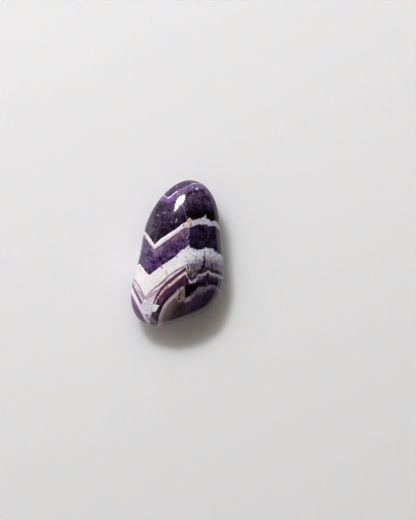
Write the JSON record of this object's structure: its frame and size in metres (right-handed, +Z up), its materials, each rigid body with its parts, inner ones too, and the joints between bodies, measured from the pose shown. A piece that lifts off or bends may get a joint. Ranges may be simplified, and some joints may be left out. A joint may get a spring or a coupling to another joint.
{
  "type": "tumbled chevron amethyst",
  "caption": "Tumbled, polished pebble of chevron amethyst, purple and white banded quartz, to hold, display or scatter as decoration.",
  "frame": {"origin": "on the surface that the pebble rests on, under the middle of its box", "axes": "+Z up from the resting face, +Y along the pebble's length to its narrow end, +X across it to the flank that the narrow end leans towards"},
  "size_m": [0.0244, 0.0382, 0.0125],
  "materials": {
    "polished_amethyst": "tumble-polished, glossy"
  },
  "bodies": {
    "root": {"tumbled_amethyst": "polished_amethyst"}
  },
  "joints": []
}
